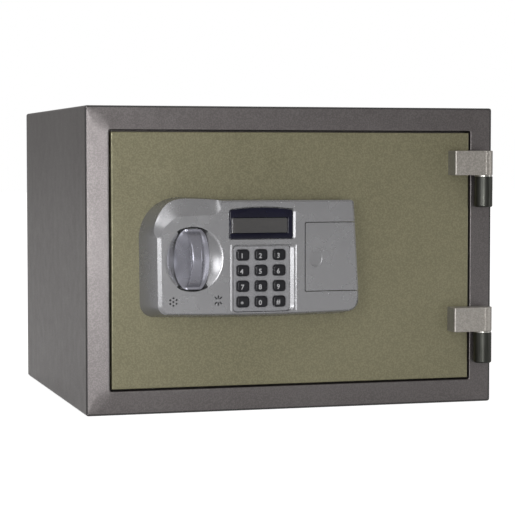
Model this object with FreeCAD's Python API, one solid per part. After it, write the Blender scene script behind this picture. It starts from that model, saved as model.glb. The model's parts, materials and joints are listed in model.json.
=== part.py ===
import FreeCAD, Part
import math
import os

# Small fire-resistant in-room safe with an electronic keypad lock.
# X runs to the right, Y into the cabinet and Z up. The origin is the centre of the base.
# Depths are distances behind the cabinet's front face, so a negative depth stands in front of it.

os.makedirs("parts", exist_ok=True)

# ---------------------------------------------------------------- cabinet
WIDTH = 435.0
HEIGHT = 310.0
DEPTH = 365.0
FRONT_Y = -DEPTH / 2
SHEET = 1.5                 # cabinet sheet
FRAME_SHEET = 2.0           # front frame sheet
EDGE_RADIUS = 2.5           # folded outer corners
FRAME_WIDTH = 24.0          # front frame, all round
FIT = 0.1                   # play between a lining and the piece it lines

OPENING_HALF = WIDTH / 2 - FRAME_WIDTH
OPENING_LOW = FRAME_WIDTH
OPENING_HIGH = HEIGHT - FRAME_WIDTH
STEP_IN = 10.0              # the jamb steps in by this much behind the door's flange
STEP_DEPTH = 18.4
JAMB_DEPTH = 66.0           # the jamb's rear end, where the liner starts
LINER_HALF = 168.5
LINER_LOW = 57.0
LINER_HIGH = 253.0
LINER_DEPTH = 242.0
ANCHOR_SPACING = 200.0
ANCHOR_HOLE_RADIUS = 5.5
SLEEVE_WALL = 1.2

# ---------------------------------------------------------------- door
DOOR_GAP = 2.0
DOOR_SHEET = 2.0
SKIN_DEPTH = 15.0
SKIN_HALF = OPENING_HALF - DOOR_GAP
SKIN_LOW = OPENING_LOW + DOOR_GAP
SKIN_HIGH = OPENING_HIGH - DOOR_GAP
PLUG_LEFT = -176.5          # more room on the swinging side
PLUG_RIGHT = 180.5
PLUG_LOW = 37.0
PLUG_HIGH = 273.0
PAN_SHEET = 1.5
PAN_FLOOR_DEPTH = 28.0
PAN_DEPTH = 57.0
SEAL_WIDTH = 5.0
SEAL_THICKNESS = 3.0
COVER_SHEET = 1.5
COVER_POSTS = [(x, z) for x in (-168.0, 2.0, 172.0) for z in (45.0, 265.0)]
POST_RADIUS = 4.0

# ---------------------------------------------------------------- hinges
HINGE_X = 204.1
HINGE_DEPTH = -10.0
KNUCKLE_RADIUS = 9.6
LEAF_LEFT = 168.5
LEAF_HEIGHT = 25.6
LEAF_BOTTOMS = {"upper": 239.8, "lower": 76.0}
LEAF_LIFT = 0.5             # the leaf's clearance over the frame
BARREL_HEIGHT = 32.0
PIN_RADIUS = 4.0
PIN_PLAY = 0.08
WASHER_THICKNESS = 1.2
DEAD_BAR_DEPTHS = (40.0, 48.0)
DEAD_BAR_LOW = 75.0
DEAD_BAR_HIGH = 235.0
DEAD_BAR_REACH = 8.6

# ---------------------------------------------------------------- bolt work
BOLT_RADIUS = 11.0
BOLT_DEPTH = 45.5
BOLT_HEIGHTS = (105.0, 210.0)
BOLT_PLAY = 0.3
CRANK_RADIUS = 14.0
CRANK_PIN_RADIUS = 2.5
THROW = 2 * CRANK_RADIUS * math.sin(math.radians(45))
CARRIAGE_LEFT = -154.0
CARRIAGE_DEPTH = 32.5
CARRIAGE_SHEET = 2.0
GUIDE_X = -130.0
GUIDE_HEIGHTS = (112.0, 203.0)
STUD_RADIUS = 3.0
SOLENOID_X = -60.0
SOLENOID_DEPTH = 41.0
PLUNGER_RADIUS = 4.0
PLUNGER_TIP = 172.5
PLUNGER_TRAVEL = 6.0
FRAME_LOW = 190.0
FRAME_HIGH = 224.0

# ---------------------------------------------------------------- keypad unit
HOUSING_DEPTH = 25.0
HOUSING_WALL = 2.2
HOUSING_FRONT = (-149.5, 59.5, 102.0, 216.0)
HOUSING_BASE = (-163.5, 61.5, 98.0, 218.5)
FRONT_RADII = (36.0, 3.0, 10.0, 8.0)
BASE_RADII = (46.0, 5.0, 12.0, 14.0)
KNOB_X = -114.3
KNOB_Z = 157.0
BOWL_RADIUS = 32.3
BOWL_FLOOR = -8.0
BOWL_WALL = 2.0
KNOB_RADIUS = 30.3
KNOB_HALF_WIDTH = 9.3
KNOB_WAIST = 5.2
KNOB_FRONT = -45.0
SPINDLE_RADIUS = 4.0
HUB_RADIUS = 6.0
KEY_COLUMNS = (-62.0, -43.0, -24.0)
KEY_ROWS = (160.5, 144.75, 129.0, 113.25)
KEY_NAMES = (("1", "2", "3"), ("4", "5", "6"), ("7", "8", "9"), ("star", "0", "hash"))
KEY_SIZE = (12.8, 10.9)
KEY_CORNER = 2.8
KEY_TRAVEL = 1.2
KEY_PLAY = 0.25
PANEL = (-75.5, -10.9, 103.0, 170.2)
BEZEL = (-76.5, -11.5, 177.0, 206.0)
WINDOW = (-72.5, -15.1, 182.7, 197.3)
BOARD_DEPTH = -18.3
COVER_LEFT = 3.0
COVER_LOW = 122.5
COVER_HIGH = 193.0
COVER_PLAY = 0.3
BATTERY_RADIUS = 7.1
BATTERY_PITCH = 15.2
BOSSES = ((-131.0, 203.0), (-111.0, 110.0), (-4.0, 205.0), (-4.0, 110.0))
DOT_GRILLE = (-134.0, 114.8)
SLIT_GRILLE = (-87.8, 115.3)
CABLE_X = -30.0
CABLE_Z = 196.0
CABLE_RADIUS = 1.5


# ---------------------------------------------------------------- helpers
def vec(x, depth, z):
    """Point at a depth behind the front face."""
    return FreeCAD.Vector(x, FRONT_Y + depth, z)


def block(x0, x1, d0, d1, z0, z1):
    """Box between two X values, two depths and two heights."""
    return Part.makeBox(x1 - x0, d1 - d0, z1 - z0, vec(x0, d0, z0))


def rod_x(x0, x1, depth, z, radius):
    return Part.makeCylinder(radius, x1 - x0, vec(x0, depth, z), FreeCAD.Vector(1, 0, 0))


def rod_y(x, z, radius, d0, d1):
    return Part.makeCylinder(radius, d1 - d0, vec(x, d0, z), FreeCAD.Vector(0, 1, 0))


def rod_z(x, depth, radius, z0, z1):
    return Part.makeCylinder(radius, z1 - z0, vec(x, depth, z0), FreeCAD.Vector(0, 0, 1))


def outline(rect, radii, depth):
    """Closed wire: an upright rectangle with radii top left, top right, bottom right, bottom left."""
    x0, x1, z0, z1 = rect
    corners = (
        (x0, z1, 1, -1, 180),
        (x1, z1, -1, -1, 90),
        (x1, z0, -1, 1, 0),
        (x0, z0, 1, 1, -90),
    )
    edges = []
    last = None
    first = None
    for (x, z, sx, sz, start), radius in zip(corners, radii):
        centre_x = x + sx * radius
        centre_z = z + sz * radius
        points = []
        for turn in (0, 45, 90):
            angle = math.radians(start - turn)
            points.append(vec(centre_x + radius * math.cos(angle), depth, centre_z + radius * math.sin(angle)))
        if last is not None:
            edges.append(Part.LineSegment(last, points[0]).toShape())
        edges.append(Part.Arc(*points).toShape())
        first = first or points[0]
        last = points[2]
    edges.append(Part.LineSegment(last, first).toShape())
    return Part.Wire(edges)


def slab(rect, radius, d0, d1):
    """Plate with rounded corners seen from the front."""
    face = Part.Face(outline(rect, (radius,) * 4, d0))
    return face.extrude(FreeCAD.Vector(0, d1 - d0, 0))


def grow(rect, by):
    x0, x1, z0, z1 = rect
    return (x0 - by, x1 + by, z0 - by, z1 + by)


def ring(outer, inner, d0, d1):
    """Upright rectangular frame between two outlines."""
    return block(outer[0], outer[1], d0, d1, outer[2], outer[3]).cut(
        block(inner[0], inner[1], d0 - 1, d1 + 1, inner[2], inner[3]))


def prism(points, d0, d1):
    """Flat polygon seen from the front, given depth."""
    path = [vec(x, d0, z) for x, z in points]
    wire = Part.makePolygon(path + path[:1])
    return Part.Face(wire).extrude(FreeCAD.Vector(0, d1 - d0, 0))


def front_edges(shape, depth):
    """Edges that lie wholly in one upright plane."""
    y = FRONT_Y + depth
    return [e for e in shape.Edges if all(abs(v.Y - y) < 1e-4 for v in e.Vertexes)
            and abs(e.BoundBox.YMax - e.BoundBox.YMin) < 1e-3]


def union(shapes):
    first, *rest = shapes
    return first.multiFuse(rest).removeSplitter() if rest else first


def save(name, *shapes):
    """Write one node; a group of separate solids becomes one compound."""
    shape = shapes[0] if len(shapes) == 1 else Part.makeCompound(list(shapes))
    if not shape.isValid():
        raise ValueError(name + " is not valid")
    shape.exportStep("parts/" + name + ".step")
    print("%-22s %2d solids %10.0f mm3" % (name, len(shape.Solids), shape.Volume))


OUTSIDE = (-WIDTH / 2, WIDTH / 2, 0.0, HEIGHT)
OPENING = (-OPENING_HALF, OPENING_HALF, OPENING_LOW, OPENING_HIGH)
INNER_OPENING = grow(OPENING, -STEP_IN)
LINER = (-LINER_HALF, LINER_HALF, LINER_LOW, LINER_HIGH)
SKIN = (-SKIN_HALF, SKIN_HALF, SKIN_LOW, SKIN_HIGH)
PLUG = (PLUG_LEFT, PLUG_RIGHT, PLUG_LOW, PLUG_HIGH)
ANCHORS = (-ANCHOR_SPACING / 2, ANCHOR_SPACING / 2)
FLOOR_END = PAN_FLOOR_DEPTH + DOOR_SHEET


# ---------------------------------------------------------------- cabinet pieces
def anchor_holes(radius, z0, z1):
    return [rod_z(x, DEPTH / 2, radius, z0, z1) for x in ANCHORS]


def outer_shell():
    """Wrap of the top, sides and base, open at both ends."""
    inside = grow(OUTSIDE, -SHEET)
    wrap = slab(OUTSIDE, EDGE_RADIUS, FRAME_SHEET, DEPTH)
    wrap = wrap.cut(slab(inside, EDGE_RADIUS - SHEET, FRAME_SHEET - 1, DEPTH + 1))
    return wrap.cut(anchor_holes(ANCHOR_HOLE_RADIUS, -1, SHEET + 1))


def back_panel():
    """Shallow tray let into the rear end of the wrap."""
    edge = grow(OUTSIDE, -SHEET)
    tray = slab(edge, EDGE_RADIUS - SHEET, DEPTH - 14, DEPTH - 2)
    return tray.cut(slab(grow(edge, -SHEET), EDGE_RADIUS - SHEET, DEPTH - 15, DEPTH - 2 - SHEET))


def front_frame():
    """Face ring with a stepped jamb behind it."""
    t = FRAME_SHEET
    face = slab(OUTSIDE, EDGE_RADIUS, 0, t).cut(block(*OPENING[:2], -1, t + 1, *OPENING[2:]))
    face = face.makeFillet(t - 0.4, [e for e in front_edges(face, 0) if on_outside(e)])
    jamb = ring(grow(OPENING, t), OPENING, t / 2, STEP_DEPTH + t)
    step = ring(grow(OPENING, t), INNER_OPENING, STEP_DEPTH, STEP_DEPTH + t)
    throat = ring(grow(INNER_OPENING, t), INNER_OPENING, STEP_DEPTH, JAMB_DEPTH)
    flange = ring(grow(INNER_OPENING, t), LINER, JAMB_DEPTH - t, JAMB_DEPTH)
    frame = union([face, jamb, step, throat, flange])
    bolt_holes = [rod_x(INNER_OPENING[0] - t - 1, INNER_OPENING[0] + 1, BOLT_DEPTH, z, BOLT_RADIUS + 0.8)
                  for z in BOLT_HEIGHTS]
    slot = block(INNER_OPENING[1] - 1, INNER_OPENING[1] + t + 1, DEAD_BAR_DEPTHS[0] - 3.5,
                 DEAD_BAR_DEPTHS[1] + 4.5, DEAD_BAR_LOW - 4, DEAD_BAR_HIGH + 4)
    return frame.cut(bolt_holes + [slot])


def on_outside(edge):
    box = edge.BoundBox
    return (box.XMax > WIDTH / 2 - EDGE_RADIUS - 0.1 or box.XMin < -WIDTH / 2 + EDGE_RADIUS + 0.1)


def inner_liner():
    outer = block(-LINER_HALF - SHEET, LINER_HALF + SHEET, JAMB_DEPTH, JAMB_DEPTH + LINER_DEPTH + SHEET,
                  LINER_LOW - SHEET, LINER_HIGH + SHEET)
    room = block(-LINER_HALF, LINER_HALF, JAMB_DEPTH - 1, JAMB_DEPTH + LINER_DEPTH, LINER_LOW, LINER_HIGH)
    return outer.cut([room] + anchor_holes(ANCHOR_HOLE_RADIUS, LINER_LOW - SHEET - 1, LINER_LOW + 1))


def cabinet_insulation():
    """Cast fire-resistant fill between the wrap and everything inside it."""
    t = FRAME_SHEET + FIT
    body = slab(grow(OUTSIDE, -SHEET - FIT), EDGE_RADIUS - SHEET, FRAME_SHEET + FIT, DEPTH - 14 - FIT)
    mouth = grow(OPENING, t)
    throat = grow(INNER_OPENING, t)
    room = grow(LINER, SHEET + FIT)
    holes = [
        block(*mouth[:2], 0, STEP_DEPTH + t, *mouth[2:]),
        block(*throat[:2], 0, JAMB_DEPTH + FIT, *throat[2:]),
        block(*room[:2], 0, JAMB_DEPTH + LINER_DEPTH + SHEET + FIT, *room[2:]),
        block(0, INNER_OPENING[1] + FRAME_SHEET + 7 + FIT, DEAD_BAR_DEPTHS[0] - 4.5 - FIT,
              DEAD_BAR_DEPTHS[1] + 5.5 + FIT, DEAD_BAR_LOW - 6 - FIT, DEAD_BAR_HIGH + 6 + FIT),
    ]
    holes += [rod_x(INNER_OPENING[0] - FRAME_SHEET - 13 - FIT, 0, BOLT_DEPTH, z, BOLT_RADIUS + 2 + FIT)
              for z in BOLT_HEIGHTS]
    holes += anchor_holes(ANCHOR_HOLE_RADIUS + SLEEVE_WALL + FIT, 0, LINER_LOW)
    return body.cut(holes)


def bolt_strike(z):
    """Steel cup behind the jamb that a live bolt shoots into."""
    mouth = INNER_OPENING[0] - FRAME_SHEET
    cup = rod_x(mouth - 13, mouth, BOLT_DEPTH, z, BOLT_RADIUS + 2)
    return cup.cut(rod_x(mouth - 11.8, mouth + 1, BOLT_DEPTH, z, BOLT_RADIUS + 0.8))


def dead_bar_pocket():
    """Steel trough behind the hinge-side jamb that the dead bar swings into."""
    x = INNER_OPENING[1] + FRAME_SHEET
    d0 = DEAD_BAR_DEPTHS[0] - 3.5
    d1 = DEAD_BAR_DEPTHS[1] + 4.5
    trough = block(x, x + 7, d0 - 1, d1 + 1, DEAD_BAR_LOW - 6, DEAD_BAR_HIGH + 6)
    return trough.cut(block(x - 1, x + 6, d0, d1, DEAD_BAR_LOW - 5, DEAD_BAR_HIGH + 5))


def anchor_sleeve(x):
    outer = rod_z(x, DEPTH / 2, ANCHOR_HOLE_RADIUS + SLEEVE_WALL, SHEET, LINER_LOW - SHEET)
    return outer.cut(rod_z(x, DEPTH / 2, ANCHOR_HOLE_RADIUS, 0, LINER_LOW))


# ---------------------------------------------------------------- hinge pieces
def hinge_leaf(bottom):
    """Solid leaf welded to the door, its knuckle round the pin."""
    top = bottom + LEAF_HEIGHT
    front = HINGE_DEPTH - KNUCKLE_RADIUS
    bar = block(LEAF_LEFT, HINGE_X, front, -LEAF_LIFT, bottom, top)
    pad = block(LEAF_LEFT + 1, SKIN_HALF - 1.5, -LEAF_LIFT - 0.5, 0, bottom + 1, top - 1)
    knuckle = rod_z(HINGE_X, HINGE_DEPTH, KNUCKLE_RADIUS, bottom, top)
    bore = rod_z(HINGE_X, HINGE_DEPTH, PIN_RADIUS + PIN_PLAY, bottom - 1, top - 3)
    return union([bar, pad, knuckle]).cut(bore)


def hinge_barrel(leaf_bottom):
    """Lower knuckle, welded to the frame through a short foot."""
    top = leaf_bottom - WASHER_THICKNESS - 2 * FIT
    bottom = top - BARREL_HEIGHT
    barrel = rod_z(HINGE_X, HINGE_DEPTH, KNUCKLE_RADIUS, bottom, top)
    rims = [e for e in barrel.Edges if abs(e.BoundBox.ZMax - e.BoundBox.ZMin) < 1e-4 and e.BoundBox.ZMax < top - 1]
    barrel = barrel.makeChamfer(1.2, rims)
    foot = block(HINGE_X - 6, HINGE_X + 6, HINGE_DEPTH, 0, bottom + 2, top - 2)
    return union([barrel, foot]).cut(rod_z(HINGE_X, HINGE_DEPTH, PIN_RADIUS + 0.02, bottom + 3, top + 1))


def hinge_pin(leaf_bottom):
    top = leaf_bottom + LEAF_HEIGHT - 4
    return rod_z(HINGE_X, HINGE_DEPTH, PIN_RADIUS, leaf_bottom - BARREL_HEIGHT + 2, top)


def hinge_washer(leaf_bottom):
    low = leaf_bottom - WASHER_THICKNESS - FIT
    washer = rod_z(HINGE_X, HINGE_DEPTH, KNUCKLE_RADIUS - 0.6, low, low + WASHER_THICKNESS)
    return washer.cut(rod_z(HINGE_X, HINGE_DEPTH, PIN_RADIUS + 0.1, low - 1, low + 3))


# ---------------------------------------------------------------- door pieces
def door_skin():
    """Front tray of the door with holes for the keypad unit."""
    tray = block(*SKIN[:2], 0, SKIN_DEPTH, *SKIN[2:])
    tray = tray.makeFillet(1.2, front_edges(tray, 0))
    inside = grow(SKIN, -DOOR_SHEET)
    holes = [block(*inside[:2], DOOR_SHEET, SKIN_DEPTH + 1, *inside[2:])]
    holes.append(rod_y(KNOB_X, KNOB_Z, HUB_RADIUS + 0.5, -1, DOOR_SHEET + 1))
    holes.append(rod_y(CABLE_X, CABLE_Z, CABLE_RADIUS * 2, -1, DOOR_SHEET + 1))
    holes += [rod_y(x, z, 2.3, -1, DOOR_SHEET + 1) for x, z in BOSSES]
    return tray.cut(holes)


def door_plug_pan():
    """Stepped steel body behind the skin: flange, walls, floor plate and cover posts."""
    t = PAN_SHEET
    flange = ring(grow(SKIN, -DOOR_SHEET - FIT), PLUG, SKIN_DEPTH - 2, SKIN_DEPTH)
    walls = ring(PLUG, grow(PLUG, -t), SKIN_DEPTH - 2, PAN_DEPTH)
    floor = block(*PLUG[:2], PAN_FLOOR_DEPTH, FLOOR_END, *PLUG[2:])
    posts = [rod_y(x, z, POST_RADIUS, FLOOR_END - 0.5, PAN_DEPTH) for x, z in COVER_POSTS]
    pan = union([flange, walls, floor] + posts)
    holes = [rod_x(PLUG_LEFT - 1, PLUG_LEFT + t + 1, BOLT_DEPTH, z, BOLT_RADIUS + BOLT_PLAY)
             for z in BOLT_HEIGHTS]
    holes += [rod_y(x, z, 1.62, PAN_DEPTH - 13, PAN_DEPTH + 1) for x, z in COVER_POSTS]
    holes.append(rod_y(KNOB_X, KNOB_Z, HUB_RADIUS + 0.02, PAN_FLOOR_DEPTH - 1, FLOOR_END + 1))
    holes.append(rod_y(CABLE_X, CABLE_Z, CABLE_RADIUS * 2, PAN_FLOOR_DEPTH - 1, FLOOR_END + 1))
    return pan.cut(holes)


def door_insulation():
    """Cast fill in the skin and in the front half of the pan."""
    front = grow(SKIN, -DOOR_SHEET - 2 * FIT)
    rear = grow(PLUG, -PAN_SHEET - FIT)
    fill = union([
        block(*front[:2], DOOR_SHEET + FIT, SKIN_DEPTH - 2 - FIT, *front[2:]),
        block(*rear[:2], DOOR_SHEET + FIT, PAN_FLOOR_DEPTH - FIT, *rear[2:]),
    ])
    holes = [rod_y(KNOB_X, KNOB_Z, HUB_RADIUS + 1, 0, FLOOR_END), rod_y(CABLE_X, CABLE_Z, CABLE_RADIUS * 2, 0, FLOOR_END)]
    holes += [rod_y(x, z, 5, 0, FLOOR_END) for x, z in BOSSES]
    return fill.cut(holes)


def door_seal():
    outer = (-SKIN_HALF + 2.5, SKIN_HALF - 2.5, SKIN_LOW + 2.5, SKIN_HIGH - 2.5)
    band = slab(outer, 3, SKIN_DEPTH, SKIN_DEPTH + SEAL_THICKNESS)
    return band.cut(slab(grow(outer, -SEAL_WIDTH), 1, SKIN_DEPTH - 1, SKIN_DEPTH + SEAL_THICKNESS + 1))


def door_inner_cover():
    plate = slab(PLUG, 3, PAN_DEPTH, PAN_DEPTH + COVER_SHEET)
    plate = plate.makeFillet(0.8, front_edges(plate, PAN_DEPTH + COVER_SHEET))
    return plate.cut([rod_y(x, z, 1.9, PAN_DEPTH - 1, PAN_DEPTH + 5) for x, z in COVER_POSTS])


def pan_screw(x, z):
    """Pan-head screw with a cross recess, driven from inside the cabinet."""
    head_start = PAN_DEPTH + COVER_SHEET
    head = rod_y(x, z, 3.6, head_start, head_start + 2.2)
    head = head.makeFillet(1.2, front_edges(head, head_start + 2.2))
    shank = rod_y(x, z, 1.6, PAN_DEPTH - 10, head_start + 0.5)
    cross = [block(x - 1.8, x + 1.8, head_start + 1.1, head_start + 3, z - 0.4, z + 0.4),
             block(x - 0.4, x + 0.4, head_start + 1.1, head_start + 3, z - 1.8, z + 1.8)]
    return union([head, shank]).cut(cross)


def dead_bar():
    bar = block(PLUG_RIGHT, PLUG_RIGHT + DEAD_BAR_REACH, *DEAD_BAR_DEPTHS, DEAD_BAR_LOW, DEAD_BAR_HIGH)
    return bar.makeChamfer(1.0, [e for e in bar.Edges if e.BoundBox.XMin > PLUG_RIGHT + 1])


# ---------------------------------------------------------------- bolt work pieces
def spindle_bush():
    flange = rod_y(KNOB_X, KNOB_Z, HUB_RADIUS + 2, FLOOR_END, FLOOR_END + 1.5)
    barrel = rod_y(KNOB_X, KNOB_Z, HUB_RADIUS, PAN_FLOOR_DEPTH - 1, FLOOR_END + 1)
    return union([flange, barrel]).cut(rod_y(KNOB_X, KNOB_Z, SPINDLE_RADIUS + PIN_PLAY, 0, 60))


def knob_spindle():
    return rod_y(KNOB_X, KNOB_Z, SPINDLE_RADIUS, -18, 42)


def drive_cam():
    """Disc on the spindle whose crank pin works in the carriage's upright slot."""
    front = CARRIAGE_DEPTH + CARRIAGE_SHEET + 0.7
    reach = CRANK_RADIUS * math.sin(math.radians(45))
    disc = rod_y(KNOB_X, KNOB_Z, CRANK_RADIUS + 4, front, front + 2.3)
    pin = rod_y(KNOB_X + reach, KNOB_Z + reach, CRANK_PIN_RADIUS, CARRIAGE_DEPTH - 0.5, front + 1)
    return union([disc, pin]).cut(rod_y(KNOB_X, KNOB_Z, SPINDLE_RADIUS + 0.02, 0, 60))


def spindle_nut():
    start = CARRIAGE_DEPTH + CARRIAGE_SHEET + 3.0
    corners = [(KNOB_X + 6.5 * math.cos(math.radians(60 * i)), KNOB_Z + 6.5 * math.sin(math.radians(60 * i)))
               for i in range(6)]
    return prism(corners, start, start + 3.6).cut(rod_y(KNOB_X, KNOB_Z, SPINDLE_RADIUS + 0.02, 0, 60))


def slot(x0, x1, z, half):
    """Level slot with round ends through the carriage."""
    return slab((x0 - half, x1 + half, z - half, z + half), half - 0.01, CARRIAGE_DEPTH - 1,
                CARRIAGE_DEPTH + CARRIAGE_SHEET + 1)


def bolt_carriage():
    """Sliding plate that carries both live bolts, with a ramp that the plunger rides on."""
    d0 = CARRIAGE_DEPTH
    d1 = d0 + CARRIAGE_SHEET
    plate = block(CARRIAGE_LEFT, -80, d0, d1, BOLT_HEIGHTS[0] - 13, BOLT_HEIGHTS[1] + 13)
    ears = [block(CARRIAGE_LEFT, CARRIAGE_LEFT + 2.5, d0, BOLT_DEPTH + 10.5, z - 13, z + 13) for z in BOLT_HEIGHTS]
    high = PLUNGER_TIP - 0.5
    low = high - PLUNGER_TRAVEL
    foot = block(-81, -69, d0, d1, high - 22, high)
    ramp = prism([(-70, high - 22), (-34, high - 22), (-34, low), (SOLENOID_X + THROW, low),
                  (SOLENOID_X, high), (-70, high)], d0, SOLENOID_DEPTH + 5)
    reach = CRANK_RADIUS * math.sin(math.radians(45))
    pin_half = CRANK_PIN_RADIUS + 0.55
    pin_x = KNOB_X + reach
    pin_slot = slab((pin_x - pin_half, pin_x + pin_half, KNOB_Z + reach - 2.9, KNOB_Z + CRANK_RADIUS + 2.9),
                    1.5, d0 - 1, d1 + 1)
    holes = [slot(GUIDE_X, GUIDE_X + THROW, z, STUD_RADIUS + BOLT_PLAY) for z in GUIDE_HEIGHTS]
    holes.append(slot(KNOB_X, KNOB_X + THROW, KNOB_Z, SPINDLE_RADIUS + 0.6))
    holes += [rod_x(CARRIAGE_LEFT - 1, CARRIAGE_LEFT + 4, BOLT_DEPTH, z, 5.02) for z in BOLT_HEIGHTS]
    return union([plate, foot, ramp] + ears).cut(holes + [pin_slot])


def live_bolt(z):
    head = rod_x(PLUG_LEFT + 0.2, CARRIAGE_LEFT, BOLT_DEPTH, z, BOLT_RADIUS)
    head = head.makeChamfer(1.5, [e for e in head.Edges if e.BoundBox.XMax < PLUG_LEFT + 1])
    return union([head, rod_x(CARRIAGE_LEFT - 1, CARRIAGE_LEFT + 9, BOLT_DEPTH, z, 5)])


def bolt_nut(z):
    x0 = CARRIAGE_LEFT + 2.5
    nut = rod_x(x0, x0 + 5, BOLT_DEPTH, z, 8.5)
    return nut.cut(rod_x(x0 - 1, x0 + 6, BOLT_DEPTH, z, 5.02))


def guide_stud(z):
    clear = CARRIAGE_DEPTH + CARRIAGE_SHEET + 0.5
    return union([rod_y(GUIDE_X, z, STUD_RADIUS, FLOOR_END, clear), rod_y(GUIDE_X, z, 5, clear, clear + 2)])


def solenoid_frame():
    """C-shaped steel yoke round the coil."""
    x0 = SOLENOID_X - 13
    x1 = SOLENOID_X + 13
    yoke = block(x0, x1, FLOOR_END, SOLENOID_DEPTH + 11, FRAME_LOW, FRAME_HIGH)
    room = block(x0 - 1, x1 + 1, FLOOR_END + 1.5, SOLENOID_DEPTH + 12, FRAME_LOW + 1.5, FRAME_HIGH - 1.5)
    return yoke.cut([room, rod_z(SOLENOID_X, SOLENOID_DEPTH, PLUNGER_RADIUS + 0.4, FRAME_LOW - 1, FRAME_LOW + 2)])


def solenoid_coil():
    coil = rod_z(SOLENOID_X, SOLENOID_DEPTH, 9, FRAME_LOW + 1.5, FRAME_HIGH - 1.5)
    return coil.cut(rod_z(SOLENOID_X, SOLENOID_DEPTH, PLUNGER_RADIUS + 0.3, FRAME_LOW, FRAME_HIGH - 8))


def solenoid_plunger():
    tip = Part.makeCone(1.2, PLUNGER_RADIUS, 5, vec(SOLENOID_X, SOLENOID_DEPTH, PLUNGER_TIP))
    stem = rod_z(SOLENOID_X, SOLENOID_DEPTH, PLUNGER_RADIUS, PLUNGER_TIP + 5, FRAME_HIGH - 12)
    collar = rod_z(SOLENOID_X, SOLENOID_DEPTH, 6.5, PLUNGER_TIP + 6, PLUNGER_TIP + 8)
    return union([tip, stem, collar])


def plunger_spring():
    tube = rod_z(SOLENOID_X, SOLENOID_DEPTH, 5.8, PLUNGER_TIP + 8, FRAME_LOW)
    return tube.cut(rod_z(SOLENOID_X, SOLENOID_DEPTH, 4.6, PLUNGER_TIP, FRAME_LOW + 1))


def lock_cable():
    """Lead from the circuit board through the door to the coil, with one bend."""
    run = 20.8
    bend = 0.45 * run
    start = vec(CABLE_X, BOARD_DEPTH + 1.7, CABLE_Z)
    before = vec(CABLE_X, SOLENOID_DEPTH - bend, CABLE_Z)
    middle = vec(CABLE_X - bend * (1 - math.sqrt(0.5)), SOLENOID_DEPTH - bend * (1 - math.sqrt(0.5)), CABLE_Z)
    after = vec(CABLE_X - bend, SOLENOID_DEPTH, CABLE_Z)
    end = vec(CABLE_X - run, SOLENOID_DEPTH, CABLE_Z)
    path = Part.Wire([Part.LineSegment(start, before).toShape(), Part.Arc(before, middle, after).toShape(),
                      Part.LineSegment(after, end).toShape()])
    section = Part.Wire(Part.makeCircle(CABLE_RADIUS, start, FreeCAD.Vector(0, 1, 0)))
    cable = path.makePipeShell([section], True, True)
    expected = path.Length * math.pi * CABLE_RADIUS ** 2
    print("cable bend radius %.1f mm, length %.1f mm, volume %.3f of expected"
          % (bend, path.Length, cable.Volume / expected))
    return cable


# ---------------------------------------------------------------- keypad unit pieces
def housing_solid():
    return Part.makeLoft([outline(HOUSING_BASE, BASE_RADII, 0), outline(HOUSING_FRONT, FRONT_RADII, -HOUSING_DEPTH)],
                         True, True)


def housing_cavity():
    wall = HOUSING_WALL
    base = outline(grow(HOUSING_BASE, -wall), [r - wall for r in BASE_RADII], 0.5)
    front = outline(grow(HOUSING_FRONT, -wall), [max(r - wall, 0.8) for r in FRONT_RADII], wall - HOUSING_DEPTH)
    return Part.makeLoft([base, front], True, True)


def bowl_ball(wall):
    """Ball whose surface, in the knob's well, lies the given distance outside the well."""
    drop = BOWL_FLOOR + HOUSING_DEPTH
    radius = (BOWL_RADIUS ** 2 + drop ** 2) / (2 * drop)
    ball = Part.makeSphere(radius + wall)
    ball.translate(vec(KNOB_X, BOWL_FLOOR - radius, KNOB_Z))
    return ball


def battery_bay(play):
    return block(COVER_LEFT - play, 80, -HOUSING_DEPTH - 1, 1, COVER_LOW - play, COVER_HIGH + play)


def dot_holes():
    x, z = DOT_GRILLE
    spots = [(0, 0)] + [(3.6 * math.sin(math.radians(60 * i)), 3.6 * math.cos(math.radians(60 * i))) for i in range(6)]
    return [rod_y(x + dx, z + dz, 0.75, -HOUSING_DEPTH - 1, -HOUSING_DEPTH + 4) for dx, dz in spots]


def slit_holes():
    x, z = SLIT_GRILLE
    slits = []
    for i in range(8):
        slit = block(x - 0.45, x + 0.45, -HOUSING_DEPTH - 1, -HOUSING_DEPTH + 4, z + 1.8, z + 4.5)
        slit.rotate(vec(x, 0, z), FreeCAD.Vector(0, 1, 0), 45 * i)
        slits.append(slit)
    return slits


def keypad_housing():
    """Moulded cover with a round well for the knob and openings for the display, keys and batteries."""
    solid = housing_solid()
    shell = solid.cut(housing_cavity()).cut(battery_bay(0))
    well = bowl_ball(BOWL_WALL).common(solid)
    bosses = [rod_y(x, z, 4, -HOUSING_DEPTH + 1, 0) for x, z in BOSSES]
    shell = union([shell, well] + bosses)
    holes = [bowl_ball(0), rod_y(KNOB_X, KNOB_Z, HUB_RADIUS + 0.5, -20, 1)]
    holes.append(slab(PANEL, 2, -HOUSING_DEPTH - 1, -HOUSING_DEPTH + 4))
    holes.append(slab(BEZEL, 3, -HOUSING_DEPTH - 1, -HOUSING_DEPTH + 4))
    holes += [rod_y(x, z, 2.02, -13, 1) for x, z in BOSSES]
    return shell.cut(holes + dot_holes() + slit_holes())


def battery_cover():
    """Front and right end of the housing over the batteries; slides off to the right."""
    cover = housing_solid().cut(housing_cavity()).common(battery_bay(-COVER_PLAY))
    thumb = Part.makeSphere(22)
    thumb.translate(vec(COVER_LEFT + 11.5, -HOUSING_DEPTH - 20.6, 154))
    return cover.cut(thumb)


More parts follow.
